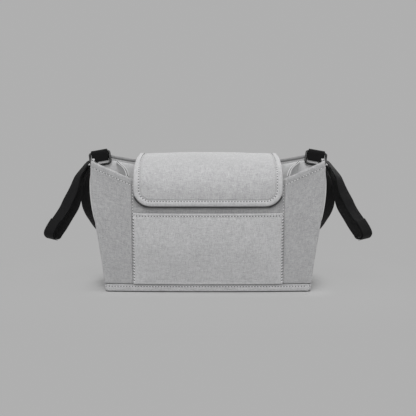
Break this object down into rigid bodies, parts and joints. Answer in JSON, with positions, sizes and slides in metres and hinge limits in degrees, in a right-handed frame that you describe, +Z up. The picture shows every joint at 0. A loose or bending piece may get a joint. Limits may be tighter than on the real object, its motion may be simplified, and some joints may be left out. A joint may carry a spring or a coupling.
{
  "type": "stroller organizer",
  "caption": "Padded cloth stroller organizer with a flap over the middle, end cup holders, a front slip pocket, webbing straps and corner rings.",
  "frame": {"origin": "middle of the base's underside, on the surface that the bag stands on", "axes": "+Z up, the front with the pocket faces -Y, +X runs along the bag's length"},
  "size_m": [0.5008, 0.1467, 0.2055],
  "materials": {
    "bag_cloth": "heather grey woven cloth over foam",
    "flap_cloth": "heather grey woven cloth over foam",
    "binding_cloth": "grey woven binding with topstitching",
    "lining_cloth": "light grey plain weave lining",
    "black_webbing": "black ribbed webbing",
    "grip_patch": "black smooth close-woven patch",
    "black_plastic": "glossy moulded plastic",
    "hook_and_loop": "grey hook-and-loop tape",
    "board": "stiffener board"
  },
  "bodies": {
    "bag": {"base_tray": "bag_cloth", "base_board": "board", "front_panel": "bag_cloth", "back_panel": "bag_cloth", "lining": "lining_cloth", "front_pocket": "bag_cloth", "flap": "flap_cloth", "flap_lining": "lining_cloth", "flap_binding": "binding_cloth", "closure_hook_patch": "hook_and_loop", "closure_loop_patch": "hook_and_loop", "back_rim_binding": "binding_cloth", "side_gusset_left": "bag_cloth", "side_rim_binding_left": "binding_cloth", "cup_divider_left": "lining_cloth", "ring_tab_left": "black_webbing", "strap_left": "black_webbing", "strap_tip_patch_left": "grip_patch", "side_gusset_right": "bag_cloth", "side_rim_binding_right": "binding_cloth", "cup_divider_right": "lining_cloth", "ring_tab_right": "black_webbing", "strap_right": "black_webbing", "strap_tip_patch_right": "grip_patch"},
    "ring_left": {"ring_left": "black_plastic"},
    "ring_right": {"ring_right": "black_plastic"}
  },
  "joints": [
    {"name": "ring_left_swing", "type": "hinge", "parent": "bag", "child": "ring_left", "pos_m": [-0.17168, 0.05836, 0.19914], "axis": [-0.9848, 0, -0.1736], "range_deg": [0, 300]},
    {"name": "ring_right_swing", "type": "hinge", "parent": "bag", "child": "ring_right", "pos_m": [0.17168, 0.05836, 0.19914], "axis": [-0.9848, 0, 0.1736], "range_deg": [0, 300]}
  ]
}
